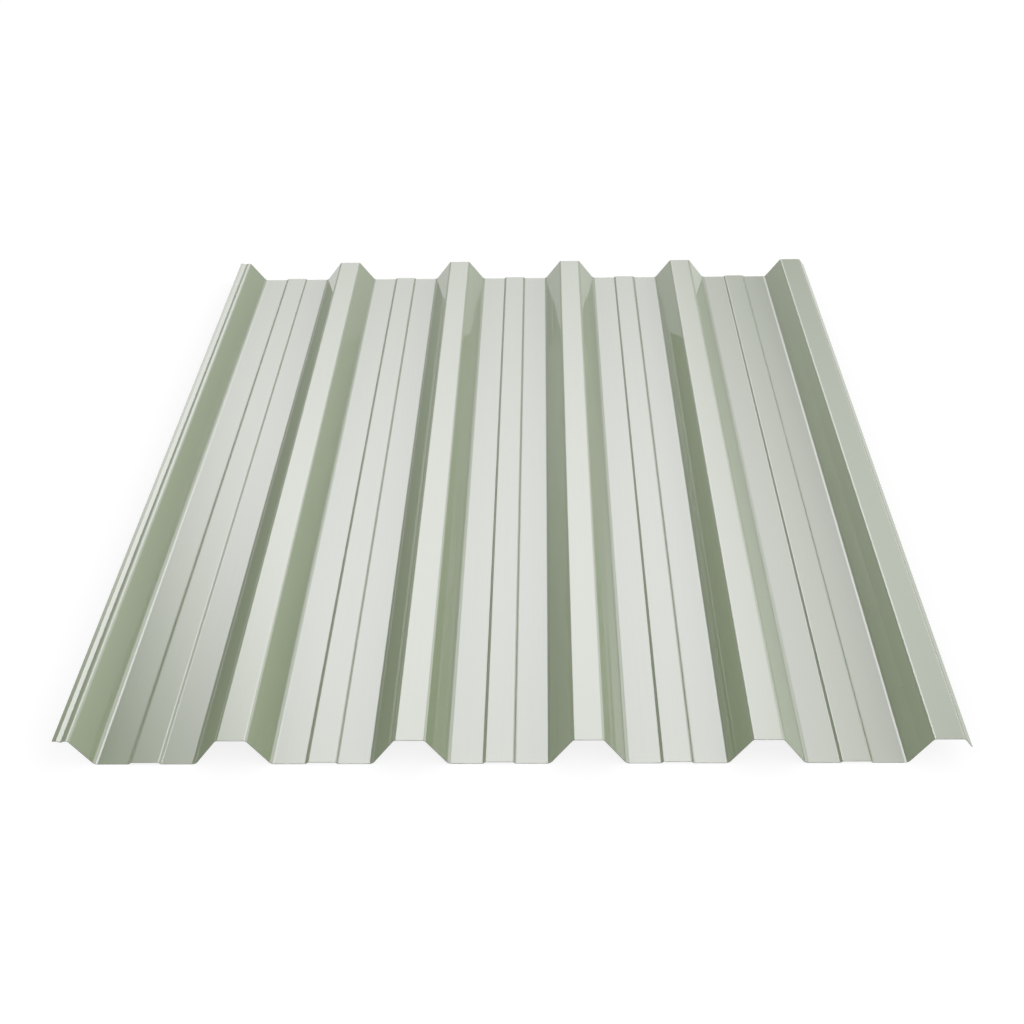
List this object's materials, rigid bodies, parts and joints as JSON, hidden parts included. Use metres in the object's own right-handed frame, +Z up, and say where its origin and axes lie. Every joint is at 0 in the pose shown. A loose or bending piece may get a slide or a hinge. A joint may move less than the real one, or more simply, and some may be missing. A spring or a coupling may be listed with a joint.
{
  "type": "trapezoidal roofing sheet",
  "caption": "Trapezoidal roof and wall sheet of coated steel: raised ribs between wide swaged pans, with a grooved underlap edge and a lipped overlap edge.",
  "frame": {"origin": "centre of the bounding box, at the level of the pans' underside", "axes": "+X across the ribs towards the overlap edge, +Y along the ribs, +Z up out of the crowns"},
  "size_m": [1.0624, 1.42, 0.035],
  "materials": {
    "coated_steel": "glossy sage green coil coating"
  },
  "bodies": {
    "root": {"roofing_sheet": "coated_steel"}
  },
  "joints": []
}
